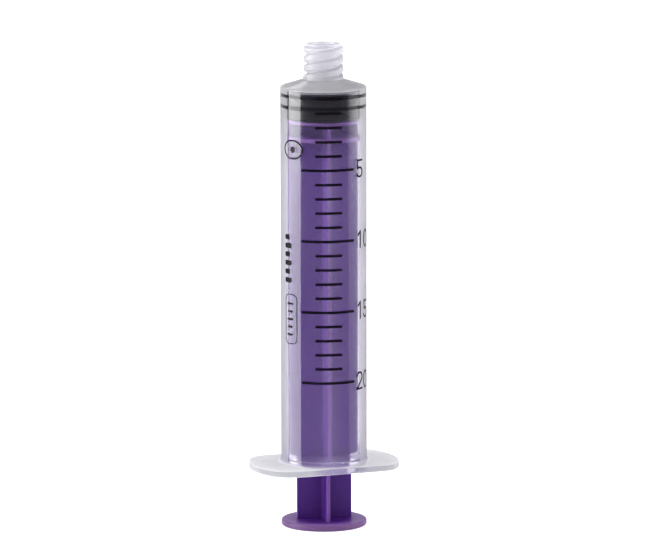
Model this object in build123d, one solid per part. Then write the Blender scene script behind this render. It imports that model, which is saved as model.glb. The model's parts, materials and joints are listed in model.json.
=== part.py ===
from build123d import *
import math
import os

# A 20 mL oral (enteral) syringe with its plunger pushed fully home, standing on
# its thumb disc. Millimetres. The origin is the centre of the thumb disc's outer
# face, +Z runs up the axis to the tip, and +X along the finger flange's long axis.

# ---- driving dimensions -------------------------------------------------------
BORE_R = 9.55                # sets how far 1 mL moves the seal
WALL = 1.0
CAPACITY_ML = 20
ZERO_Z = 106.74              # height of the 0 mL line
TIP_Z = 119.3                # top face of the tip

FLANGE_Z = 14.4              # underside of the finger flange
FLANGE_T = 1.6
FLANGE_R = 18.5              # half of the long axis
FLANGE_HALF_WIDTH = 11.8     # half of the short axis, across the two flats

THUMB_R = 10.5
THUMB_T = 1.5
THUMB_EDGE_R = 0.45
RIB_T = 0.9
RIB_R = 8.7                  # the wide ribs that run inside the barrel
HANDLE_R = 6.8               # the narrower ribs between the thumb disc and the step
HANDLE_TOP_Z = 17.15
CROSS_TURN = -11.3           # degrees, how the cross of ribs stands to the flange

SCALE_ANGLE = -103.4         # degrees round the barrel, middle of the scale lines
SHORT_HALF_ANGLE = 18.1
LONG_HALF_ANGLE = 37.4
LINE_T = 0.62
INK_T = 0.03                 # thickness of the printed ink

# ---- sizes that follow --------------------------------------------------------
BARREL_R = BORE_R + WALL
ML_RISE = 1000 / (math.pi * BORE_R**2)
FLANGE_TOP = FLANGE_Z + FLANGE_T

# barrel: shoulder, tip and open end
SHOULDER_SLOPE = math.tan(math.radians(17.3))
COLLAR_R = 4.95
COLLAR_Z = 110.5             # where the shoulder's cone meets the collar
COLLAR_TOP = 111.1
COLLAR_EDGE = 0.15           # chamfer round the collar's top
COLLAR_LEAN = 0.4            # the collar's top slopes up this far to the tip
ROUND_R = 0.6                # rounding between the shoulder and the barrel
INNER_SHOULDER_Z = 107.85
CHANNEL_R = 1.45
SOCKET_DEPTH = 7.0
SOCKET_R = 2.7
SOCKET_LEAD = 0.2            # chamfer at the socket's mouth
TIP_FLAT_R = 3.1
THREAD_R = 4.87
THREAD_ROOT_R = 4.1
THREAD_PITCH = 2.37          # crest to crest
THREAD_STARTS = 2
THREAD_CREST_Z = 110.74      # a crest's height at right angles to the middle of the scale
THREAD_SIDE_ANGLE = -20.5    # degrees, where that crest is
CREST_HALF = 0.55
CREST_CROWN = 0.15           # how much a crest is rounded
ROOT_HALF = 1.1
TIP_CHAMFER = 0.97           # how far the tip's cone drops before it meets the crests
MOUTH_LEAD = 0.25            # how much wider the open end is than the bore
MOUTH_H = 0.9
BEAD_Z = 16.4
BEAD_R = 9.2                 # the bead that stops the plunger's guide disc
BEAD_HALF = 0.75
FOOT_R = 1.0                 # fillet between the flange and the barrel
FLANGE_CORNER_R = 10.0
EDGE_R = 0.3

# plunger and seal
GUIDE_Z = 95.73              # underside of the guide disc
GUIDE_T = 1.05
GUIDE_R = 9.35
GUIDE_EDGE_R = 0.3
HEAD_DISC_Z = 99.93
HEAD_DISC_T = 0.81
HEAD_DISC_R = 8.75
HEAD_DISC_EDGE_R = 0.2
SEAL_Z = 101.1               # lower edge of the rubber
STEP_R = 1.4                 # rounding of the wide ribs' lower corners
RIB_EDGE_R = 0.2
RIB_ROOT_R = 0.35
MARK_R = 0.8
MARK_DEPTH = 0.06
MARK_X = 3.2
MARK_Z = 4.8
NECK_R = 2.3
KNOB_R = 4.2
KNOB_Z = 103.4
KNOB_TOP = 105.6
KNOB_CHAMFER = 0.9
SEAT_R = 5.2                 # boss on the head disc that the rubber sits on
PLAY = 0.05                  # room between the knob and the rubber round it
SEAL_R = BORE_R - 0.05
SKIRT_R = 9.42
SKIRT_EDGE = 0.25            # chamfer round the rubber's lower edge
GROOVE_R = 9.36
NOSE_GAP = 0.3               # between the seal's cone and the barrel's
NOSE_R = 1.5
RING_ZS = (104.17, 106.86)   # the two sealing rings
RING_HALF = 0.42

# print
DIGIT_H = 4.5
DIGIT_W = 2.75
STROKE = 0.48
DIGIT_STEP = 3.15
NUMERAL_GAP = 0.75           # between a long line and its numeral
OVAL = (3.25, 2.45)          # half width and half height of the oval mark
OVAL_LINE = 0.4
OVAL_DOT_R = 0.8
OVAL_ANGLE = SCALE_ANGLE - 52.6
OVAL_Z = 94.1
PANEL_ANGLE = SCALE_ANGLE - 56.5
BARS_Z = 67.2                # middle of the six bars
BAR_H = 1.25
BAR_STEP = 2.12
OUTLINE_Z = 52.3
OUTLINE_SIZE = (4.3, 12.4)
OUTLINE_CORNER_R = 1.4
OUTLINE_LINE = 0.25


def around(radius, angle, z):
    """A plane that touches a cylinder at an angle, facing out, with +Z up."""
    a = math.radians(angle)
    out = Vector(math.cos(a), math.sin(a), 0)
    right = Vector(-math.sin(a), math.cos(a), 0)
    return Plane(origin=(radius * out.X, radius * out.Y, z), x_dir=right, z_dir=out)


def turned(points):
    """A solid of revolution from (radius, height) points and arcs between them."""
    edges = []
    here = points[0]
    through = None
    for step in points[1:] + [points[0]]:
        if step[0] == "arc":
            through = step[1:]
            continue
        if through:
            edges.append(ThreePointArc(here, through, step))
            through = None
        elif step != here:
            edges.append(Line(here, step))
        here = step
    return revolve(Plane.XZ * make_face(edges), Axis.Z)


# ---- barrel -------------------------------------------------------------------
def inner_cone_z(radius):
    """Height of the barrel's inside cone."""
    return INNER_SHOULDER_Z + (BORE_R - radius) * SHOULDER_SLOPE


def tip_cone_z(radius):
    """Height of the cone that leads a connector on to the tip's thread."""
    return TIP_Z - TIP_CHAMFER * (radius - TIP_FLAT_R) / (THREAD_R - TIP_FLAT_R)


def barrel_core():
    """Tube, shoulder, collar and smooth tip, hollow right through."""
    edge_z = COLLAR_Z - (BARREL_R - COLLAR_R) * SHOULDER_SLOPE
    lean = math.atan(SHOULDER_SLOPE)
    half = (math.pi / 2 - lean) / 2
    # the rounding starts this far along the shoulder and down the tube
    reach = ROUND_R * math.tan(half)
    start = (BARREL_R - reach * math.cos(lean), edge_z + reach * math.sin(lean))
    stop = (BARREL_R, edge_z - reach)
    centre = (BARREL_R - ROUND_R, stop[1])
    through = (centre[0] + ROUND_R * math.cos(half), centre[1] + ROUND_R * math.sin(half))
    floor_z = TIP_Z - SOCKET_DEPTH
    return turned([
        (BORE_R + MOUTH_LEAD, FLANGE_Z),
        (BORE_R + MOUTH_LEAD, FLANGE_Z + MOUTH_H),
        (BORE_R, FLANGE_Z + MOUTH_H + MOUTH_LEAD),
        (BORE_R, BEAD_Z - BEAD_HALF),
        ("arc", BEAD_R, BEAD_Z),
        (BORE_R, BEAD_Z + BEAD_HALF),
        (BORE_R, INNER_SHOULDER_Z),
        (CHANNEL_R, inner_cone_z(CHANNEL_R)),
        (CHANNEL_R, floor_z),
        (SOCKET_R, floor_z),
        (SOCKET_R, TIP_Z - SOCKET_LEAD),
        (SOCKET_R + SOCKET_LEAD, TIP_Z),
        (TIP_FLAT_R, TIP_Z),
        (THREAD_ROOT_R, tip_cone_z(THREAD_ROOT_R)),
        (THREAD_ROOT_R, COLLAR_TOP + COLLAR_LEAN),
        (COLLAR_R - COLLAR_EDGE, COLLAR_TOP),
        (COLLAR_R, COLLAR_TOP - COLLAR_EDGE),
        (COLLAR_R, COLLAR_Z),
        start,
        ("arc", *through),
        stop,
        (BARREL_R, FLANGE_Z),
    ])


def tip_thread():
    """The two-start right-hand ridge round the tip, cut by the tip's chamfer."""
    lead = THREAD_PITCH * THREAD_STARTS
    run = 2.5 * lead
    bury = 0.25
    side_r = THREAD_R - CREST_CROWN
    section = make_face([
        Line((THREAD_ROOT_R - bury, -ROOT_HALF), (THREAD_ROOT_R, -ROOT_HALF)),
        Line((THREAD_ROOT_R, -ROOT_HALF), (side_r, -CREST_HALF)),
        ThreePointArc((side_r, -CREST_HALF), (THREAD_R, 0), (side_r, CREST_HALF)),
        Line((side_r, CREST_HALF), (THREAD_ROOT_R, ROOT_HALF)),
        Line((THREAD_ROOT_R, ROOT_HALF), (THREAD_ROOT_R - bury, ROOT_HALF)),
        Line((THREAD_ROOT_R - bury, ROOT_HALF), (THREAD_ROOT_R - bury, -ROOT_HALF)),
    ])
    path = Helix(pitch=lead, height=run, radius=THREAD_ROOT_R)
    ridge = sweep(Plane.XZ * section, path=path, is_frenet=True)
    # the helix starts at +X: one whole lead below the crest that is named above
    first = Pos(0, 0, THREAD_CREST_Z - lead) * Rot(0, 0, THREAD_SIDE_ANGLE) * ridge
    keep = turned([
        (THREAD_ROOT_R - 2 * bury, COLLAR_TOP - 0.5),
        (COLLAR_R + 1, COLLAR_TOP - 0.5),
        (COLLAR_R + 1, tip_cone_z(COLLAR_R + 1)),
        (TIP_FLAT_R, TIP_Z),
        (THREAD_ROOT_R - 2 * bury, TIP_Z),
    ])
    return [Rot(0, 0, 360 / THREAD_STARTS * k) * first & keep for k in range(THREAD_STARTS)]


def finger_flange():
    """Oblong plate with softly rounded corners and edges, open for the barrel."""
    outline = Circle(FLANGE_R) & Rectangle(2 * FLANGE_R, 2 * FLANGE_HALF_WIDTH)
    outline = fillet(outline.vertices(), FLANGE_CORNER_R)
    plate = Pos(0, 0, FLANGE_Z) * extrude(outline, FLANGE_T)
    rims = plate.faces().sort_by(Axis.Z)
    plate = fillet(rims[0].edges() + rims[-1].edges(), EDGE_R)
    return plate - Pos(0, 0, FLANGE_Z + FLANGE_T / 2) * Cylinder(BARREL_R - WALL / 4, 2 * FLANGE_T)


def flange_foot():
    """Fillet that runs from the flange up on to the barrel."""
    inside = BARREL_R - WALL / 4
    turn = FOOT_R * (1 - math.sqrt(0.5))
    return turned([
        (inside, FLANGE_TOP - EDGE_R),
        (BARREL_R + FOOT_R, FLANGE_TOP - EDGE_R),
        (BARREL_R + FOOT_R, FLANGE_TOP),
        ("arc", BARREL_R + turn, FLANGE_TOP + turn),
        (BARREL_R, FLANGE_TOP + FOOT_R),
        (inside, FLANGE_TOP + FOOT_R),
    ])


def barrel():
    """One moulding: tube, finger flange, shoulder and threaded tip."""
    return barrel_core() + finger_flange() + flange_foot() + tip_thread()


# ---- plunger rod --------------------------------------------------------------
def cross_section(reach):
    """The cross of ribs seen from above: rounded edges, and fillets where ribs meet."""
    rib = RectangleRounded(2 * reach, RIB_T, RIB_EDGE_R)
    cross = rib + Rot(0, 0, 90) * rib
    corners = [v for v in cross.vertices() if math.hypot(v.X, v.Y) < RIB_T]
    return fillet(corners, RIB_ROOT_R)


def ribs():
    """Narrow ribs as a handle, wide ribs inside the barrel, rounded where they step."""
    handle_h = HANDLE_TOP_Z + STEP_R - THUMB_T / 2
    handle = Pos(0, 0, THUMB_T / 2) * extrude(cross_section(HANDLE_R), handle_h)
    top = HEAD_DISC_Z + HEAD_DISC_T / 2
    wide = Pos(0, 0, HANDLE_TOP_Z) * extrude(cross_section(RIB_R), top - HANDLE_TOP_Z)
    turn = STEP_R * math.sqrt(0.5)
    limit = turned([
        (0, HANDLE_TOP_Z),
        (RIB_R - STEP_R, HANDLE_TOP_Z),
        ("arc", RIB_R - STEP_R + turn, HANDLE_TOP_Z + STEP_R - turn),
        (RIB_R, HANDLE_TOP_Z + STEP_R),
        (RIB_R, top),
        (0, top),
    ])
    return handle + (wide & limit)


def pin_marks():
    """Shallow round marks that the mould's ejector pins leave on two faces."""
    mark = Rot(90, 0, 0) * Cylinder(MARK_R, 2 * MARK_DEPTH)
    near = -RIB_T / 2
    return [Pos(-MARK_X, near, MARK_Z) * mark, Pos(MARK_X, near, MARK_Z) * mark]


def disc(radius, z, thickness, edge):
    """A flat disc with rounded rims."""
    plate = Pos(0, 0, z + thickness / 2) * Cylinder(radius, thickness)
    return fillet(plate.edges().filter_by(GeomType.CIRCLE), edge)


def snap_head():
    """Boss, neck and knob that hold the rubber on the rod."""
    disc_top = HEAD_DISC_Z + HEAD_DISC_T
    seat_top = SEAL_Z - PLAY
    return turned([
        (0, HEAD_DISC_Z),
        (SEAT_R, HEAD_DISC_Z),
        (SEAT_R, disc_top),
        (SEAT_R, seat_top),
        (NECK_R, seat_top),
        (NECK_R, KNOB_Z),
        (KNOB_R, KNOB_Z),
        (KNOB_R, KNOB_TOP - KNOB_CHAMFER),
        (KNOB_R - KNOB_CHAMFER, KNOB_TOP),
        (0, KNOB_TOP),
    ])


def plunger_rod():
    """One moulding: thumb disc, cross of ribs, guide disc, head disc and snap head."""
    discs = [
        disc(THUMB_R, 0, THUMB_T, THUMB_EDGE_R),
        disc(GUIDE_R, GUIDE_Z, GUIDE_T, GUIDE_EDGE_R),
        disc(HEAD_DISC_R, HEAD_DISC_Z, HEAD_DISC_T, HEAD_DISC_EDGE_R),
    ]
    return Rot(0, 0, CROSS_TURN) * (ribs() + discs + snap_head() - pin_marks())


# ---- seal ---------------------------------------------------------------------
def piston_seal():
    """Rubber piston: two sealing rings, a cone that fills the shoulder, a snap socket."""
    low, high = RING_ZS
    return turned([
        (NECK_R + PLAY, SEAL_Z),
        (SKIRT_R - SKIRT_EDGE, SEAL_Z),
        (SKIRT_R, SEAL_Z + SKIRT_EDGE),
        (SKIRT_R, low - 2 * RING_HALF),
        (SEAL_R, low - RING_HALF / 2),
        (SEAL_R, low + RING_HALF / 2),
        (GROOVE_R, low + 2 * RING_HALF),
        (GROOVE_R, high - 2 * RING_HALF),
        (SEAL_R, high - RING_HALF / 2),
        (SEAL_R, high + RING_HALF / 2),
        (GROOVE_R, inner_cone_z(GROOVE_R) - NOSE_GAP),
        (NOSE_R, inner_cone_z(NOSE_R) - NOSE_GAP),
        (0, inner_cone_z(NOSE_R) - NOSE_GAP),
        (0, KNOB_TOP + PLAY),
        (KNOB_R - KNOB_CHAMFER + PLAY, KNOB_TOP + PLAY),
        (KNOB_R + PLAY, KNOB_TOP - KNOB_CHAMFER + PLAY),
        (KNOB_R + PLAY, KNOB_Z - PLAY),
        (NECK_R + PLAY, KNOB_Z - PLAY),
    ])


# ---- printed ink --------------------------------------------------------------
def ink_arc(angle_from, angle_to, z, height):
    """A printed bar that runs round the barrel between two angles."""
    section = Pos(BARREL_R + INK_T / 2, z) * Rectangle(INK_T, height)
    bar = revolve(Plane.XZ * section, Axis.Z, revolution_arc=angle_to - angle_from)
    return Rot(0, 0, angle_from) * bar


def ink_patch(sketch, angle, z):
    """A flat drawing laid on the barrel round one angle."""
    reach = 4.0
    block = around(BARREL_R, angle, z) * extrude(sketch, reach / 2, both=True)
    tall = 40.0
    skin = Cylinder(BARREL_R + INK_T, tall) - Cylinder(BARREL_R, tall)
    return block & (Pos(0, 0, z) * skin)


def scale_lines():
    """One line for each millilitre, a long one for every fifth."""
    lines = []
    for ml in range(CAPACITY_ML + 1):
        half = LONG_HALF_ANGLE if ml and ml % 5 == 0 else SHORT_HALF_ANGLE
        lines.append(ink_arc(SCALE_ANGLE - half, SCALE_ANGLE + half, ZERO_Z - ml * ML_RISE, LINE_T))
    return Compound(children=lines)


def bar(x1, y1, x2, y2, width=STROKE):
    """A straight stroke with round ends."""
    turn = math.degrees(math.atan2(y2 - y1, x2 - x1))
    length = math.hypot(x2 - x1, y2 - y1)
    return Pos((x1 + x2) / 2, (y1 + y2) / 2) * Rot(0, 0, turn) * SlotCenterToCenter(length, width)


def bow(x, y, radius, start, sweep_angle, width=STROKE):
    """A curved stroke with round ends."""
    return SlotArc(CenterArc((x, y), radius, start, sweep_angle), width)


def digit_0():
    return Ellipse(DIGIT_W / 2, DIGIT_H / 2) - Ellipse(DIGIT_W / 2 - STROKE, DIGIT_H / 2 - STROKE)


def digit_1():
    top = (DIGIT_H - STROKE) / 2
    stem_x = 0.3
    flag = 0.9
    return bar(stem_x, -top, stem_x, top) + bar(stem_x - flag, top - flag, stem_x, top)


def digit_2():
    side = (DIGIT_W - STROKE) / 2
    top = (DIGIT_H - STROKE) / 2
    start = 170
    stop = -30
    lean = math.radians(stop)
    bend = (side * math.cos(lean), top - side + side * math.sin(lean))
    return (
        bow(0, top - side, side, start, stop - start)
        + bar(*bend, -side, -top)
        + bar(-side, -top, side, -top)
    )


def digit_5():
    side = (DIGIT_W - STROKE) / 2
    top = (DIGIT_H - STROKE) / 2
    bowl_y = side - top
    start = 130
    stop = -160
    lean = math.radians(start)
    bend = (side * math.cos(lean), bowl_y + side * math.sin(lean))
    left = -side + 0.25
    right = side - 0.1
    return (
        bar(left, top, right, top)
        + bar(left, top, *bend)
        + bow(0, bowl_y, side, start, stop - start)
    )


def scale_numerals():
    """The figures 5, 10, 15 and 20, each level with its long line."""
    drawn = {"0": digit_0(), "1": digit_1(), "2": digit_2(), "5": digit_5()}
    step = math.degrees(DIGIT_STEP / BARREL_R)
    start = SCALE_ANGLE + LONG_HALF_ANGLE + math.degrees((NUMERAL_GAP + DIGIT_W / 2) / BARREL_R)
    inks = []
    for ml in range(5, CAPACITY_ML + 1, 5):
        for place, figure in enumerate(str(ml)):
            inks.append(ink_patch(drawn[figure], start + place * step, ZERO_Z - ml * ML_RISE))
    return Compound(children=inks)


def ring_mark():
    """Plain oval ring with a dot in it, beside the 3 and 4 mL lines."""
    half_width, half_height = OVAL
    ring = Ellipse(half_width, half_height) - Ellipse(half_width - OVAL_LINE, half_height - OVAL_LINE)
    return ink_patch(ring + Circle(OVAL_DOT_R), OVAL_ANGLE, OVAL_Z)


def bar_column():
    """Six plain bars under one another, every other one longer."""
    column = Sketch()
    for k in range(6):
        longer = k % 2
        length = 1.9 + 0.7 * longer
        column += Pos(0.35 * longer - 1.3, (2.5 - k) * BAR_STEP) * RectangleRounded(length, BAR_H, 0.4)
    return column


def outlined_box():
    """An empty rounded outline with five short bars in it."""
    width, height = OUTLINE_SIZE
    inner_r = OUTLINE_CORNER_R - OUTLINE_LINE
    box = RectangleRounded(width, height, OUTLINE_CORNER_R)
    box -= RectangleRounded(width - 2 * OUTLINE_LINE, height - 2 * OUTLINE_LINE, inner_r)
    for k in range(5):
        length = 2.2 - 0.5 * (k % 2)
        box += Pos(-0.3, 1.9 * (2 - k)) * RectangleRounded(length, 0.5, 0.2)
    return box


def print_panel():
    """Plain bars above a rounded outline, where a maker's print would be."""
    return Compound(children=[
        ink_patch(bar_column(), PANEL_ANGLE, BARS_Z),
        ink_patch(outlined_box(), PANEL_ANGLE, OUTLINE_Z),
    ])


# ---- write the parts ----------------------------------------------------------
NODES = {
    "barrel": barrel,
    "plunger_rod": plunger_rod,
    "piston_seal": piston_seal,
    "scale_lines": scale_lines,
    "scale_numerals": scale_numerals,
    "ring_mark": ring_mark,
    "print_panel": print_panel,
}

os.makedirs("parts", exist_ok=True)
for name, build in NODES.items():
    export_step(build(), f"parts/{name}.step")
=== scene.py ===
import json
import math

import bmesh
import bpy
from mathutils import Matrix, Vector


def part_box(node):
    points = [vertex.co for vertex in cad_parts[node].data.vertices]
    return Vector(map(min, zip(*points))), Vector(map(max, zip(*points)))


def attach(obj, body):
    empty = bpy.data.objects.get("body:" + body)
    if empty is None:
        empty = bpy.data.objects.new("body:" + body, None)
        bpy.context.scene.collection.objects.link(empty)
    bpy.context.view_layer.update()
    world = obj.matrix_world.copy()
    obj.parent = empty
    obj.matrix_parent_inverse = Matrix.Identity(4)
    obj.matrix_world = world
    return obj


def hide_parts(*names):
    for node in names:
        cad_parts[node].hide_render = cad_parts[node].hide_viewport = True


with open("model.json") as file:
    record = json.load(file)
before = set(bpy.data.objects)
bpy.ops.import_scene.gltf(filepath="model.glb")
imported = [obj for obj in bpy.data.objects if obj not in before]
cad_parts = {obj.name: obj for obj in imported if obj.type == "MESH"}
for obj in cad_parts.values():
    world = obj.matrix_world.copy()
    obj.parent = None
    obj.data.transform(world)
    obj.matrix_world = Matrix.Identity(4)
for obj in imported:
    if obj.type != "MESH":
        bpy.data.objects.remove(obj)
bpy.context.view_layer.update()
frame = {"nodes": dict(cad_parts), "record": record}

# The looks of a 20 mL oral syringe. Lengths on the syringe are in millimetres in the part's
# own frame, and become metres only where a mesh or a node needs them. The studio is in metres.
MM = 0.001

# ---- places from the frame ----------------------------------------------------
mounts = {mount["name"]: mount for mount in frame["record"]["mounts"]}


def corners(node):
    """Lowest and highest corner of a CAD node, in millimetres."""
    return [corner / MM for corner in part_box(node)]


barrel_low, barrel_high = corners("barrel")
seal_low, seal_high = corners("piston_seal")
rod_high = corners("plunger_rod")[1]
lines_high = corners("scale_lines")[1]

BARREL_R = mounts["barrel_body"]["dims"]["r_mm"]
FLANGE_Z = barrel_low.z
FLANGE_TOP = mounts["flange_face"]["pos_m"][2] / MM
FLANGE_R = barrel_high.x
FLANGE_HALF_WIDTH = barrel_high.y
TIP_Z = barrel_high.z
SOCKET_R = mounts["enteral_socket"]["dims"]["r_mm"]
THUMB_R = rod_high.x
SEAL_Z = seal_low.z
NOSE_Z = seal_high.z
LINE_T = 0.62                # how thick a scale line is
ZERO_Z = lines_high.z - LINE_T / 2

# ---- sizes of the barrel ------------------------------------------------------
WALL = 1.0
BORE_R = BARREL_R - WALL
SHOULDER_SLOPE = math.tan(math.radians(17.3))
COLLAR_R = 4.95
COLLAR_Z = ZERO_Z + 3.76
COLLAR_TOP = COLLAR_Z + 0.6
COLLAR_BLEND = 0.5           # height over which the collar's upper edge runs into the tip
COLLAR_BLEND_TOP = COLLAR_TOP + 0.4
SHOULDER_Z = COLLAR_Z - (BARREL_R - COLLAR_R) * SHOULDER_SLOPE
INNER_SHOULDER_Z = ZERO_Z + 1.11
CHANNEL_R = 1.45
SOCKET_DEPTH = 7.0
SOCKET_LEAD = 0.2
TIP_FLAT_R = 3.1
TIP_CHAMFER = 0.97
TIP_SIDE_TOP = TIP_Z - 0.1
TIP_SIDE_FOOT = COLLAR_TOP - 0.2
THREAD_R = 4.87
THREAD_ROOT_R = 4.1
THREAD_PITCH = 2.37
THREAD_STARTS = 2
THREAD_CREST_Z = ZERO_Z + 4.0
THREAD_SIDE_ANGLE = math.radians(-20.5)
CREST_HALF = 0.55
ROOT_HALF = 1.1
MOUTH_LEAD = 0.25
MOUTH_R = BORE_R + MOUTH_LEAD
MOUTH_H = 0.9
BEAD_Z = FLANGE_Z + 2.0
BEAD_R = 9.2
BEAD_HALF = 0.75
FLANGE_CORNER_POWER = 12.0   # the higher, the tighter the flange's corners

# corner radii, where EDGE_R is any small moulded edge
EDGE_R = 0.1
MOUTH_EDGE_R = 0.2
INNER_SHOULDER_R = 0.4
CHANNEL_EDGE_R = 0.3
SOCKET_FLOOR_R = 0.2
TIP_EDGE_R = 0.12
COLLAR_FOOT_R = 0.15
SHOULDER_R = 0.6
FLANGE_FILLET_R = 1.0
FLANGE_EDGE_R = 0.25

# ---- sizes of the rubber piston -----------------------------------------------
SQUEEZE = 0.03               # how far each sealing ring presses into the wall
RING_R = BORE_R + SQUEEZE
RING_ZS = (SEAL_Z + 3.07, SEAL_Z + 5.76)
RING_HALF = 0.4              # half a ring's height at its crest
RING_FOOT_HALF = 0.85        # and at its foot
RING_EDGE_R = 0.2
GROOVE_R = 9.36
GROOVE_EDGE_R = 0.3
SKIRT_R = 9.42
SKIRT_TOP = RING_ZS[0] - 1.1
SKIRT_EDGE_R = 0.4
NOSE_R = 1.5
NOSE_EDGE_R = 0.6
NECK_R = 2.35
NECK_MOUTH_R = 0.3
NECK_TOP_R = 0.2
KNOB_R = 4.25
KNOB_Z = SEAL_Z + 2.25
KNOB_TOP = SEAL_Z + 4.55
KNOB_TAPER = 0.9             # how far the knob's socket narrows at its top
KNOB_TAPER_H = 0.85

# ---- sizes of the plunger rod that its material follows -----------------------
RIB_R = 8.7
HANDLE_R = 6.8
STEP_Z = FLANGE_Z + 2.75     # where the ribs step from narrow to wide
THUMB_T = 1.5

# ---- how finely the meshes are cut --------------------------------------------
COLUMNS = 360
ARC_STEPS = 5
BEAD_STEPS = 8
TIP_ROWS = 110
SMOOTH_ANGLE = math.radians(32)  # faces that meet at less than this are shaded as one
WELD = 1e-7                  # vertices this close, in metres, become one
SIDE_SHARE = 0.49            # the most of a side that the arc at one end may take up


# ---- meshes -------------------------------------------------------------------
def softened(outline, closed=True):
    """Rounds each (radius, height, corner radius) of an outline into an arc."""
    points = []
    count = len(outline)
    for i, (x, z, corner) in enumerate(outline):
        before = Vector(outline[i - 1][:2])
        after = Vector(outline[(i + 1) % count][:2])
        end = not closed and i in (0, count - 1)
        if end or not corner:
            points.append((x, z))
        else:
            points += corner_arc(before, Vector((x, z)), after, corner)
    return points


def corner_arc(before, here, after, corner):
    """Points of the arc that rounds the corner at here, between its two neighbours."""
    to_before = before - here
    to_after = after - here
    half = to_before.angle(to_after) / 2
    room = SIDE_SHARE * min(to_before.length, to_after.length)
    reach = min(corner / math.tan(half), room)
    radius = reach * math.tan(half)
    start = here + to_before.normalized() * reach
    stop = here + to_after.normalized() * reach
    halfway = (to_before.normalized() + to_after.normalized()).normalized()
    middle = here + halfway * radius / math.sin(half)
    first = start - middle
    turn = first.angle_signed(stop - middle)
    points = []
    for k in range(ARC_STEPS + 1):
        spoke = first.copy()
        spoke.rotate(Matrix.Rotation(-turn * k / ARC_STEPS, 2))
        points.append(tuple(middle + spoke))
    return points


def lathe(name, outline_at, closed=True):
    """A turned mesh. outline_at(angle) gives its (radius, height) points at that angle."""
    work = bmesh.new()
    grid = []
    for i in range(COLUMNS):
        angle = 2 * math.pi * i / COLUMNS
        ray = (math.cos(angle) * MM, math.sin(angle) * MM)
        grid.append([work.verts.new((r * ray[0], r * ray[1], z * MM)) for r, z in outline_at(angle)])
    rows = len(grid[0])
    for i in range(COLUMNS):
        here = grid[i]
        beside = grid[(i + 1) % COLUMNS]
        for j in range(rows if closed else rows - 1):
            above = (j + 1) % rows
            work.faces.new((here[j], here[above], beside[above], beside[j]))
    bmesh.ops.remove_doubles(work, verts=work.verts, dist=WELD)
    bmesh.ops.recalc_face_normals(work, faces=work.faces)
    piece = mesh_object(name, work)
    piece.data.shade_smooth()
    piece.data.set_sharp_from_angle(angle=SMOOTH_ANGLE)
    return piece


def mesh_object(name, work):
    """Turns finished bmesh work into an object in the scene."""
    mesh = bpy.data.meshes.new(name)
    work.to_mesh(mesh)
    work.free()
    piece = bpy.data.objects.new(name, mesh)
    bpy.context.scene.collection.objects.link(piece)
    return piece


def smooth(t):
    """A smooth step from 0 to 1 as t goes from 0 to 1."""
    t = min(max(t, 0.0), 1.0)
    return t * t * (3 - 2 * t)


# ---- the barrel ---------------------------------------------------------------
def inner_cone_z(radius):
    """Height of the cone inside the shoulder at a radius."""
    return INNER_SHOULDER_Z + (BORE_R - radius) * SHOULDER_SLOPE


def flange_reach(angle):
    """How far the oblong flange reaches at an angle: a circle with two softened flats."""
    power = FLANGE_CORNER_POWER
    round_part = (1 / FLANGE_R) ** power
    flat_part = (abs(math.sin(angle)) / FLANGE_HALF_WIDTH) ** power
    return (round_part + flat_part) ** (-1 / power)


def tip_radius(angle, z):
    """Outside of the tip: two-start thread, chamfered at the top, on a round collar."""
    turns = (angle - THREAD_SIDE_ANGLE) / (2 * math.pi)
    crests = (z - THREAD_CREST_Z) / THREAD_PITCH - turns * THREAD_STARTS
    off_crest = abs(crests - round(crests)) * THREAD_PITCH
    ridge = smooth((ROOT_HALF - off_crest) / (ROOT_HALF - CREST_HALF))
    threaded = THREAD_ROOT_R + (THREAD_R - THREAD_ROOT_R) * ridge
    chamfer = TIP_FLAT_R + (TIP_Z - z) * (THREAD_R - TIP_FLAT_R) / TIP_CHAMFER
    in_collar = smooth((COLLAR_BLEND_TOP - z) / COLLAR_BLEND)
    collar = THREAD_ROOT_R + (COLLAR_R - THREAD_ROOT_R) * in_collar
    return max(min(threaded, chamfer), collar)


def tip_side(angle):
    """The tip's threaded side at one angle, from its top down into the collar."""
    points = []
    for k in range(TIP_ROWS):
        z = TIP_SIDE_TOP + (TIP_SIDE_FOOT - TIP_SIDE_TOP) * k / (TIP_ROWS - 1)
        points.append((tip_radius(angle, z), z, 0))
    return points


def bead_side():
    """The bead that keeps the plunger in, as a low arch on the wall of the bore."""
    points = []
    for k in range(1, BEAD_STEPS):
        t = 2 * k / BEAD_STEPS - 1
        points.append((BORE_R - (BORE_R - BEAD_R) * (1 - t * t), BEAD_Z + BEAD_HALF * t, 0))
    return points


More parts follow.
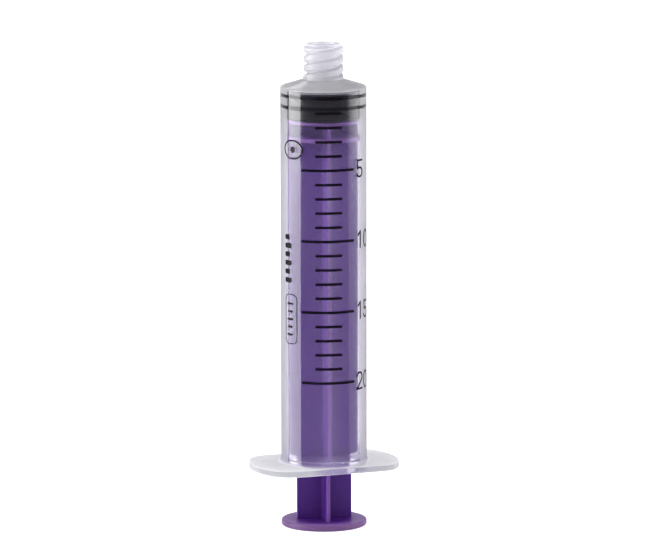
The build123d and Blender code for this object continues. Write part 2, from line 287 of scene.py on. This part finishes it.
def barrel_outline(angle):
    """The wall of the barrel at one angle, from the open end up inside and down outside."""
    socket_floor = TIP_Z - SOCKET_DEPTH
    reach = flange_reach(angle)
    return softened([
        (MOUTH_R, FLANGE_Z, MOUTH_EDGE_R),
        (MOUTH_R, FLANGE_Z + MOUTH_H, EDGE_R),
        (BORE_R, FLANGE_Z + MOUTH_H + MOUTH_LEAD, EDGE_R),
        (BORE_R, BEAD_Z - BEAD_HALF, 0),
        *bead_side(),
        (BORE_R, BEAD_Z + BEAD_HALF, 0),
        (BORE_R, INNER_SHOULDER_Z, INNER_SHOULDER_R),
        (CHANNEL_R, inner_cone_z(CHANNEL_R), CHANNEL_EDGE_R),
        (CHANNEL_R, socket_floor, EDGE_R),
        (SOCKET_R, socket_floor, SOCKET_FLOOR_R),
        (SOCKET_R, TIP_Z - SOCKET_LEAD, EDGE_R),
        (SOCKET_R + SOCKET_LEAD, TIP_Z, EDGE_R),
        (TIP_FLAT_R, TIP_Z, TIP_EDGE_R),
        *tip_side(angle),
        (COLLAR_R, COLLAR_Z, COLLAR_FOOT_R),
        (BARREL_R, SHOULDER_Z, SHOULDER_R),
        (BARREL_R, FLANGE_TOP, FLANGE_FILLET_R),
        (reach, FLANGE_TOP, FLANGE_EDGE_R),
        (reach, FLANGE_Z, FLANGE_EDGE_R),
    ])


def build_barrel():
    """The barrel's moulding, which stands for the CAD barrel."""
    piece = lathe("barrel_moulding", barrel_outline)
    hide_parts("barrel")
    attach(piece, "barrel")
    return piece


# ---- the rubber piston --------------------------------------------------------
def seal_outline(angle):
    """Half section of the rubber, from its nose round to its socket. It is the same all round."""
    rings = []
    for z in reversed(RING_ZS):
        rings += [
            (GROOVE_R, z + RING_FOOT_HALF, GROOVE_EDGE_R),
            (RING_R, z + RING_HALF, RING_EDGE_R),
            (RING_R, z - RING_HALF, RING_EDGE_R),
            (GROOVE_R, z - RING_FOOT_HALF, GROOVE_EDGE_R),
        ]
    # the upper ring rises straight from the edge of the nose's cone
    cone_edge_z = NOSE_Z - (GROOVE_R - NOSE_R) * SHOULDER_SLOPE
    rings[0] = (GROOVE_R, cone_edge_z, GROOVE_EDGE_R)
    return softened([
        (0, NOSE_Z, 0),
        (NOSE_R, NOSE_Z, NOSE_EDGE_R),
        *rings,
        (SKIRT_R, SKIRT_TOP, EDGE_R),
        (SKIRT_R, SEAL_Z, SKIRT_EDGE_R),
        (NECK_R, SEAL_Z, NECK_MOUTH_R),
        (NECK_R, KNOB_Z, NECK_TOP_R),
        (KNOB_R, KNOB_Z, EDGE_R),
        (KNOB_R, KNOB_TOP - KNOB_TAPER_H, EDGE_R),
        (KNOB_R - KNOB_TAPER, KNOB_TOP, EDGE_R),
        (0, KNOB_TOP, 0),
    ], closed=False)


def build_seal():
    """The rubber piston, which stands for the CAD seal."""
    piece = lathe("rubber_piston", seal_outline, closed=False)
    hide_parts("piston_seal")
    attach(piece, "seal")
    return piece


# ---- node trees ---------------------------------------------------------------
NOISE = (0.3, 0.7)           # where the values of a noise mostly lie
WHOLE_NOISE = (0.2, 0.8)     # where nearly all of them lie
FULL = (0.0, 1.0)
LEVEL = (1, 1, 0)            # times a vector, leaves out its height
BLACK = (0.0, 0.0, 0.0, 1.0)
WHITE = (1.0, 1.0, 1.0, 1.0)


class Graph:
    """The node tree of a material or a world, written as expressions."""

    def __init__(self, owner):
        self.owner = owner
        owner.use_nodes = True
        self.tree = owner.node_tree
        self.tree.nodes.clear()

    def add(self, kind, inputs=None, **settings):
        """A node. Each of its inputs is given a number, a colour or another node's output."""
        node = self.tree.nodes.new(kind)
        for key, value in settings.items():
            setattr(node, key, value)
        for key, value in (inputs or {}).items():
            socket = node.inputs[key]
            if isinstance(value, bpy.types.NodeSocket):
                self.tree.links.new(value, socket)
            else:
                socket.default_value = value
        return node

    def shader(self, kind, inputs):
        """What a surface shader gives: Principled, Diffuse, Translucent or Transparent."""
        return self.add("ShaderNodeBsdf" + kind, inputs).outputs[0]

    def math(self, operation, *values):
        """The number that an operation on numbers gives."""
        return self.add("ShaderNodeMath", dict(enumerate(values)), operation=operation).outputs[0]

    def times(self, a, b):
        """The product of two numbers, or the part that two shares have in common."""
        return self.math("MULTIPLY", a, b)

    def larger(self, a, b):
        """The larger of two numbers."""
        return self.math("MAXIMUM", a, b)

    def opposite(self, share):
        """The rest of 1."""
        return self.math("SUBTRACT", 1.0, share)

    def size(self, value):
        """A number without its sign."""
        return self.math("ABSOLUTE", value)

    def vector_math(self, operation, *values):
        """The vector that an operation on vectors gives, or the number where it gives one."""
        outputs = self.add("ShaderNodeVectorMath", dict(enumerate(values)), operation=operation).outputs
        return outputs["Value" if operation in ("LENGTH", "DOT_PRODUCT") else "Vector"]

    def ramp(self, value, low, high, out_low=0.0, out_high=1.0, shape="SMOOTHSTEP"):
        """A step from out_low to out_high as value goes from low to high."""
        inputs = {"Value": value, "From Min": low, "From Max": high, "To Min": out_low, "To Max": out_high}
        return self.add("ShaderNodeMapRange", inputs, interpolation_type=shape).outputs[0]

    def parts(self, vector):
        """The X, Y and Z of a vector, by name."""
        return self.add("ShaderNodeSeparateXYZ", {0: vector}).outputs

    def position(self, piece=None):
        """The place in mm, riding with the piece that has the material, or with another."""
        place = self.add("ShaderNodeTexCoord", object=piece).outputs["Object"]
        return self.vector_math("MULTIPLY", place, (1 / MM, 1 / MM, 1 / MM))

    def radius(self, position):
        """Distance from the syringe's axis."""
        return self.vector_math("LENGTH", self.vector_math("MULTIPLY", position, LEVEL))

    def noise(self, vector, scale, detail):
        """Soft noise between 0 and 1. Its patches measure about 1 / scale of the vector's unit."""
        inputs = {"Vector": vector, "Scale": scale, "Detail": detail}
        return self.add("ShaderNodeTexNoise", inputs).outputs["Fac"]

    def bump(self, height, distance, strength):
        """A normal for bumps up to a distance in mm."""
        inputs = {"Height": height, "Distance": distance * MM, "Strength": strength}
        return self.add("ShaderNodeBump", inputs).outputs[0]

    def mix_colour(self, factor, a, b):
        """From colour a to colour b, which are the node's inputs 6 and 7, as its output 2."""
        return self.add("ShaderNodeMix", {0: factor, 6: a, 7: b}, data_type="RGBA").outputs[2]

    def mix(self, factor, a, b):
        """From shader a to shader b."""
        return self.add("ShaderNodeMixShader", {0: factor, 1: a, 2: b}).outputs[0]

    def done(self, surface, volume=None):
        """Ends a material's tree and returns the material."""
        ends = {"Surface": surface}
        if volume:
            ends["Volume"] = volume
        self.add("ShaderNodeOutputMaterial", ends)
        return self.owner


def material_graph(name):
    """The empty tree of a new material."""
    return Graph(bpy.data.materials.new(name))


# ---- natural plastic ----------------------------------------------------------
# shares of the light that are scattered and not passed straight on
BORE_HAZE = 0.22             # by the film on the bore
SEAL_HAZE = 0.08             # by the same film where the rubber has wiped it
FOOT_HAZE = 0.60             # by the bore near the open end
EDGE_HAZE = 0.68             # by the wall where it is seen edge on
SHOULDER_HAZE = 0.81         # by the shoulder and the tip
CLOUDS = (0.90, 0.98)        # least and most, as a share of a thick part's haze

# shares of the scattered light that come back, while the rest goes on through
SHOULDER_BACK = 0.46
FLANGE_BACK = 0.62
RIM_BACK = 0.15              # from the flange's upright edge
EDGE_BACK = 0.3              # from the wall where it is seen edge on

# distances out from the tube over which the flange turns from clear to milky
WING_CLEAR = 0.4             # on its faces, towards its two wings
FLAT_CLEAR = 2.4             # on its faces, towards its two flats
RIM_CLEAR = 4.0              # on its upright edge

# where one look turns into the next, from its start to its end
SHOULDER_RISE = (SHOULDER_Z - 0.7, SHOULDER_Z - 0.2)
FOOT_DROP = (FLANGE_TOP + 1.5, FLANGE_TOP + 0.5)
OPEN_END_DROP = (FLANGE_TOP + 5.5, FLANGE_TOP - 0.5)
WIPED_RISE = (SEAL_Z - 0.3, SEAL_Z + 0.3)
INTO_BORE = (BORE_R + 0.5, BORE_R + 0.3)
ONTO_WINGS = (6.0, 9.0)      # sideways from the axis
ONTO_RING = (0.55, 0.3)      # up or down from the ring's middle
ONTO_UPRIGHT = (0.6, 0.3)    # how much the surface faces up or down, out of 1
ONTO_EDGE = (0.60, 0.52)     # how squarely the wall is seen, out of 1

PLASTIC_IOR = 1.49
WALL_GRAIN = 0.03            # height of the wall's fine grain, beside that of its slow waves
WALL_ROUGHNESS = (0.05, 0.08)
BORE_ROUGHNESS = 0.08        # added to the wall's on the bore's surface
MILK_ROUGHNESS = 0.08
CLEAR_WHITE = (0.985, 0.985, 0.99, 1)
MILK_WHITE = (0.72, 0.72, 0.74, 1)
# the thin haze's scattered light is painted purple, as painted light from the purple rod inside
THIN_PAINTED_ROD_LIGHT = (0.82, 0.74, 1.0, 1)
THICK_GLOW = (0.74, 0.74, 0.76, 1)
SHADOW_GREY = (0.85, 0.85, 0.86, 1)
SHADOW_BLOCKED = 0.5         # share of a lamp's light that a thick part holds back
WALL_LOSS = 0.07             # share of light lost in each millimetre of clear wall
LOSS_COLOUR = (0.0, 0.01, 0.04, 1)


def thick_parts(g, position, height, foot, rim):
    """Share of haze in the thick parts: the shoulder with its tip, and the flange."""
    top = g.ramp(height, *SHOULDER_RISE, 0.0, SHOULDER_HAZE)
    # the flange is clear in front and behind, where it passes close to the tube
    sideways = g.size(g.parts(position)["X"])
    clear = g.ramp(sideways, *ONTO_WINGS, FLAT_CLEAR, WING_CLEAR)
    clear = g.ramp(rim, *FULL, clear, RIM_CLEAR)
    from_tube = g.math("SUBTRACT", g.radius(position), BARREL_R)
    return g.larger(top, g.times(foot, g.ramp(from_tube, 0.0, clear)))


def bore_film(g, height, seal_height, inside):
    """Share of haze on the bore's surface. The rubber wipes it clear as it slides."""
    wiped = g.ramp(seal_height, *WIPED_RISE, BORE_HAZE, SEAL_HAZE)
    open_end = g.ramp(height, *OPEN_END_DROP, 0.0, FOOT_HAZE)
    return g.times(g.larger(wiped, open_end), inside)


def edge_veil(g, geometry, seal_height, inside):
    """Share of the wall's outside that is seen edge on, in a level section of the tube."""
    look = g.vector_math("NORMALIZE", g.vector_math("MULTIPLY", geometry["Incoming"], LEVEL))
    square = g.size(g.vector_math("DOT_PRODUCT", look, geometry["Normal"]))
    veil = g.times(g.ramp(square, *ONTO_EDGE), g.opposite(inside))
    # the rings of the rubber press on the wall, and show through it out to its edges
    pressed = 0.0
    for z in RING_ZS:
        off_ring = g.size(g.math("SUBTRACT", seal_height, z))
        pressed = g.larger(pressed, g.ramp(off_ring, *ONTO_RING))
    return g.times(veil, g.opposite(pressed))


def clear_plastic(g, normal, grain, inside):
    """The plastic that passes light on, a little duller on the bore's surface."""
    polish = g.ramp(grain, *WHOLE_NOISE, *WALL_ROUGHNESS)
    return g.shader("Principled", {
        "Base Color": CLEAR_WHITE,
        "Transmission Weight": 1.0,
        "IOR": PLASTIC_IOR,
        "Roughness": g.math("ADD", polish, g.times(inside, BORE_ROUGHNESS)),
        "Normal": normal,
    })


def cloudy_plastic(g, normal, thick, edge_on, foot, rim):
    """The plastic that scatters light. The bore's film sends it all onward, the rest some back."""
    milk = g.shader("Principled", {
        "Base Color": MILK_WHITE,
        "Roughness": MILK_ROUGHNESS,
        "IOR": PLASTIC_IOR,
        # the flange mirrors nothing, or its top would be lost in the glare of a softbox
        "Specular IOR Level": g.ramp(foot, *FULL, 0.5, 0.0),
        "Normal": normal,
    })
    # painted light: where the haze is thin, its scattered light is tinted purple as if lit by the rod
    tint_with_rod_light = g.mix_colour(g.larger(thick, edge_on), THIN_PAINTED_ROD_LIGHT, THICK_GLOW)
    glow = g.shader("Translucent", {"Color": tint_with_rod_light, "Normal": normal})
    thick_back = g.ramp(foot, *FULL, SHOULDER_BACK, FLANGE_BACK)
    thick_back = g.ramp(rim, *FULL, thick_back, RIM_BACK)
    back = g.larger(g.times(thick, thick_back), g.times(edge_on, EDGE_BACK))
    return g.mix(back, glow, milk)


def natural_plastic(seal):
    """Undyed polypropylene: clear in the thin tube, milky where the moulding is thick."""
    g = material_graph("natural_polypropylene")
    position = g.position()
    height = g.parts(position)["Z"]
    seal_height = g.parts(g.position(seal))["Z"]
    geometry = g.add("ShaderNodeNewGeometry").outputs
    waves = g.noise(position, scale=0.35, detail=3.0)
    grain = g.noise(position, scale=9.0, detail=2.0)
    relief = g.math("ADD", waves, g.times(grain, WALL_GRAIN))
    normal = g.bump(relief, distance=0.02, strength=0.35)

    inside = g.ramp(g.radius(position), *INTO_BORE)
    foot = g.ramp(height, *FOOT_DROP)
    faces_up = g.size(g.parts(geometry["Normal"])["Z"])
    rim = g.times(foot, g.ramp(faces_up, *ONTO_UPRIGHT))
    thick = thick_parts(g, position, height, foot, rim)
    film = bore_film(g, height, seal_height, inside)
    edge_on = edge_veil(g, geometry, seal_height, inside)
    cloudiness = g.times(thick, g.ramp(waves, *NOISE, *CLOUDS))
    haze = g.larger(cloudiness, g.larger(film, g.times(edge_on, EDGE_HAZE)))

    clear = clear_plastic(g, normal, grain, inside)
    cloudy = cloudy_plastic(g, normal, thick, edge_on, foot, rim)
    body = g.mix(haze, clear, cloudy)
    # a lamp's light passes the wall to what is inside it
    through = g.shader("Transparent", {"Color": SHADOW_GREY})
    shadow = g.add("ShaderNodeLightPath").outputs["Is Shadow Ray"]
    passed = g.times(shadow, g.opposite(g.times(thick, SHADOW_BLOCKED)))
    loss = g.add("ShaderNodeVolumeAbsorption", {"Color": LOSS_COLOUR, "Density": WALL_LOSS / MM})
    return g.done(g.mix(passed, body, through), loss.outputs[0])


# ---- purple plastic -----------------------------------------------------------
# the two tones that a part of the rod drifts between; the handle's pair is darker as painted shade and the
# pair inside the barrel brighter as painted light
SHADED_HANDLE_TONES = ((0.054, 0.010, 0.158, 1), (0.066, 0.013, 0.185, 1))
LIT_INNER_TONES = ((0.090, 0.020, 0.225, 1), (0.102, 0.023, 0.255, 1))
# painted highlight: the lit tone, painted along the ribs' thin edges and across the thumb disc
LIT_TONE = (0.25, 0.13, 0.36, 1)
DISC_RIM_SHEEN_TONE = (0.121, 0.059, 0.167, 1)

ROD_GRAIN = 0.05             # height of the rod's fine grain, beside that of its slow waves

# how much of the lit tone shows, as painted highlight on the edges and painted light in the disc
EDGE_HIGHLIGHT = 0.55
# HANDLE_EDGE_SHARE is a share of the painted highlight along the ribs' edges
HANDLE_EDGE_SHARE = 0.65     # of the glow along the wide ribs' edges
DISC_PAINTED_LIGHT = 0.65

# where one tone turns into the next, from its start to its end
INTO_BARREL = (STEP_Z - 0.5, STEP_Z + 3.0)
INTO_HANDLE = (STEP_Z + 0.2, STEP_Z)
OFF_DISC = (THUMB_T, THUMB_T + 0.1)
TO_WIDE_EDGE = (RIB_R - 0.22, RIB_R - 0.1)
TO_HANDLE_EDGE = (HANDLE_R - 0.22, HANDLE_R - 0.1)
ACROSS_DISC = (HANDLE_R - 1.5, THUMB_R - 0.3)
TO_DISC_RIM = (THUMB_R - 0.4, THUMB_R - 0.1)


def purple_colour(g, position):
    """Deep on the faces, painted darker on the handle as painted shade and brighter inside the barrel as
    painted light, with a painted highlight along the thin edges of the ribs, painted light across the
    thumb disc towards its rim and a painted sheen on the rim itself.
    """
    radius = g.radius(position)
    height = g.parts(position)["Z"]
    drift = g.noise(position, scale=0.12, detail=3.0)
    shaded_handle_tone = g.mix_colour(drift, *SHADED_HANDLE_TONES)
    lit_inner_tone = g.mix_colour(drift, *LIT_INNER_TONES)
    # painted shade and light: the rod turns from its shaded handle tone to its brighter tone inside the
    # barrel
    deep = g.mix_colour(g.ramp(height, *INTO_BARREL), shaded_handle_tone, lit_inner_tone)
    in_handle = g.ramp(height, *INTO_HANDLE)
    # painted highlight: the thin edges of the ribs are painted towards the lit tone
    wide_edge = g.ramp(radius, *TO_WIDE_EDGE)
    handle_edge = g.times(g.ramp(radius, *TO_HANDLE_EDGE, 0.0, HANDLE_EDGE_SHARE), in_handle)
    above_disc = g.ramp(height, *OFF_DISC)
    edge = g.times(g.larger(wide_edge, handle_edge), above_disc)
    # painted light: the thumb disc is painted lighter away from the ribs, standing in for light that
    # passes through the thin disc
    in_disc = g.opposite(above_disc)
    disc_painted_light = g.times(in_disc, g.ramp(radius, *ACROSS_DISC, 0.0, DISC_PAINTED_LIGHT))
    lit = g.mix_colour(g.larger(g.times(edge, EDGE_HIGHLIGHT), disc_painted_light), deep, LIT_TONE)
    # painted sheen: the thumb disc's rim is painted in a greyer purple of its own
    disc_rim_sheen = g.times(in_disc, g.ramp(radius, *TO_DISC_RIM))
    return g.mix_colour(disc_rim_sheen, lit, DISC_RIM_SHEEN_TONE)


def purple_plastic():
    """Dyed polypropylene with a fine moulded grain."""
    g = material_graph("purple_polypropylene")
    position = g.position()
    grain = g.noise(position, scale=14.0, detail=2.0)
    waves = g.noise(position, scale=0.5, detail=2.0)
    relief = g.math("ADD", waves, g.times(grain, ROD_GRAIN))
    return g.done(g.shader("Principled", {
        "Base Color": purple_colour(g, position),
        "Roughness": g.ramp(grain, *WHOLE_NOISE, 0.3, 0.42),
        "IOR": 1.35,
        "Subsurface Weight": 0.25,
        "Subsurface Radius": (1.0, 0.5, 1.4),
        "Subsurface Scale": 1.2 * MM,
        "Normal": g.bump(relief, distance=0.015, strength=0.4),
    }))


# ---- rubber and ink -----------------------------------------------------------
RUBBER_BLACKS = ((0.003, 0.002, 0.007, 1), (0.007, 0.005, 0.015, 1))
INK_BLACKS = ((0.002, 0.001, 0.003, 1), (0.006, 0.004, 0.008, 1))


def black_rubber():
    """Moulded rubber with a thin film of lubricant."""
    g = material_graph("black_rubber")
    grain = g.noise(g.position(), scale=6.0, detail=4.0)
    return g.done(g.shader("Principled", {
        "Base Color": g.mix_colour(grain, *RUBBER_BLACKS),
        "Roughness": g.ramp(grain, *NOISE, 0.38, 0.55),
        "IOR": 1.25,
        "Normal": g.bump(grain, distance=0.02, strength=0.3),
    }))


def black_ink():
    """Screen-printed ink, a little uneven in gloss."""
    g = material_graph("black_ink")
    grain = g.noise(g.position(), scale=12.0, detail=3.0)
    return g.done(g.shader("Principled", {
        "Base Color": g.mix_colour(grain, *INK_BLACKS),
        "Roughness": g.ramp(grain, *NOISE, 0.2, 0.35),
        "IOR": 1.2,
        "Normal": g.bump(grain, distance=0.004, strength=0.4),
    }))


def paint(piece, material):
    """Gives a piece one material in place of any it has."""
    piece.data.materials.clear()
    piece.data.materials.append(material)


# ---- studio, in metres --------------------------------------------------------
CAMERA_AZIMUTH = math.radians(-20.5)
CAMERA_PITCH = math.radians(9.083)
CAMERA_ROLL = math.radians(-0.1)
CAMERA_DISTANCE = 1.4        # from the syringe's axis
CAMERA_HEIGHT = 0.2859
CAMERA_SHIFT = 0.0005        # of the picture's width
LENS = 321.6                 # millimetres
SENSOR = 36                  # millimetres
FAR_AWAY = 50
FLOOR_R = 8
FLOOR_SIDES = 64
FLOOR_TONES = (0.84, 0.87)
FLOOR_LIGHT = 0.45
ROOM = 0.1                   # brightness of the room that the plastic mirrors
BACKDROP = 0.8               # and of the backdrop behind the syringe
OFF_BACKDROP = (0.2, 0.4)    # how far up a mirrored look points, out of 1
ONTO_BACKDROP = (0.3, 0.7)   # how far it points away from the camera, out of 1


def side_of_camera(degrees_right):
    """Unit vector from the axis, that many degrees to the right of the camera."""
    angle = CAMERA_AZIMUTH - math.pi / 2 + math.radians(degrees_right)
    return Vector((math.cos(angle), math.sin(angle), 0))


def add_camera():
    """A long lens that looks a little down on the syringe."""
    camera = bpy.data.objects.new("camera", bpy.data.cameras.new("camera"))
    camera.data.lens = LENS
    camera.data.sensor_width = SENSOR
    camera.data.shift_x = CAMERA_SHIFT
    camera.data.clip_end = FAR_AWAY
    camera.location = side_of_camera(0) * CAMERA_DISTANCE + Vector((0, 0, CAMERA_HEIGHT))
    camera.rotation_euler = (math.pi / 2 - CAMERA_PITCH, 0, CAMERA_AZIMUTH)
    camera.rotation_euler.rotate_axis("Z", CAMERA_ROLL)
    bpy.context.scene.collection.objects.link(camera)
    bpy.context.scene.camera = camera


def add_softbox(name, degrees_right, distance, width, tall, height, power):
    """An upright soft light that faces the syringe."""
    light = bpy.data.lights.new(name, "AREA")
    light.shape = "RECTANGLE"
    light.size = width
    light.size_y = tall
    light.energy = power
    lamp = bpy.data.objects.new(name, light)
    lamp.location = side_of_camera(degrees_right) * distance + Vector((0, 0, height))
    aim = Vector((0, 0, height)) - lamp.location
    lamp.rotation_euler = aim.to_track_quat("-Z", "Y").to_euler()
    bpy.context.scene.collection.objects.link(lamp)
    return lamp


def add_lights():
    """Softboxes to the left, behind and to the right, and a bounce light that nothing mirrors."""
    add_softbox("key", degrees_right=-84, distance=1.0, width=0.75, tall=1.2, height=0.3, power=17.5)
    add_softbox("rim", degrees_right=-165, distance=1.7, width=0.14, tall=0.8, height=1.2, power=1.3)
    add_softbox("fill", degrees_right=88, distance=1.0, width=0.68, tall=1.2, height=0.3, power=2.6)
    bounce = add_softbox(
        "bounce", degrees_right=105, distance=1.0, width=0.8, tall=1.2, height=0.4, power=11)
    bounce.visible_glossy = False


def white_floor():
    """Faintly uneven white card, lit a little from within so that it stays pale."""
    g = material_graph("studio_floor")
    place = g.add("ShaderNodeTexCoord").outputs["Object"]
    tone = g.ramp(g.noise(place, scale=3.0, detail=2.0), *NOISE, *FLOOR_TONES)
    card = g.shader("Diffuse", {"Color": g.mix_colour(tone, BLACK, WHITE)})
    light = g.add("ShaderNodeEmission", {"Color": WHITE, "Strength": FLOOR_LIGHT}).outputs[0]
    return g.done(g.add("ShaderNodeAddShader", {0: card, 1: light}).outputs[0])


def add_floor():
    """A round floor, wide enough to fill the picture from any side."""
    work = bmesh.new()
    bmesh.ops.create_circle(work, cap_ends=True, radius=FLOOR_R, segments=FLOOR_SIDES)
    floor = mesh_object("floor", work)
    paint(floor, white_floor())
    # the softboxes show in the plastic down to its foot, as over a small table
    floor.visible_glossy = False


def add_world():
    """White all round, but the plastic mirrors a dim room with a low white backdrop."""
    world = bpy.data.worlds.new("studio")
    bpy.context.scene.world = world
    g = Graph(world)
    look = g.add("ShaderNodeTexCoord").outputs["Generated"]
    behind = g.vector_math("DOT_PRODUCT", look, side_of_camera(180))
    backdrop = g.ramp(g.parts(look)["Z"], *OFF_BACKDROP, BACKDROP, ROOM, shape="LINEAR")
    mirrored = g.ramp(behind, *ONTO_BACKDROP, ROOM, backdrop, shape="LINEAR")
    mirrorings = g.add("ShaderNodeLightPath").outputs["Glossy Depth"]
    strength = g.ramp(mirrorings, *FULL, 1.0, mirrored, shape="LINEAR")
    sky = g.add("ShaderNodeBackground", {"Color": WHITE, "Strength": strength}).outputs[0]
    g.add("ShaderNodeOutputWorld", {"Surface": sky})


# ---- put it together ----------------------------------------------------------
seal = build_seal()
paint(seal, black_rubber())
paint(build_barrel(), natural_plastic(seal))
paint(frame["nodes"]["plunger_rod"], purple_plastic())
ink = black_ink()
for node in ("scale_lines", "scale_numerals", "ring_mark", "print_panel"):
    paint(frame["nodes"][node], ink)

add_camera()
add_floor()
add_world()
add_lights()
bpy.context.scene.view_settings.view_transform = "Standard"
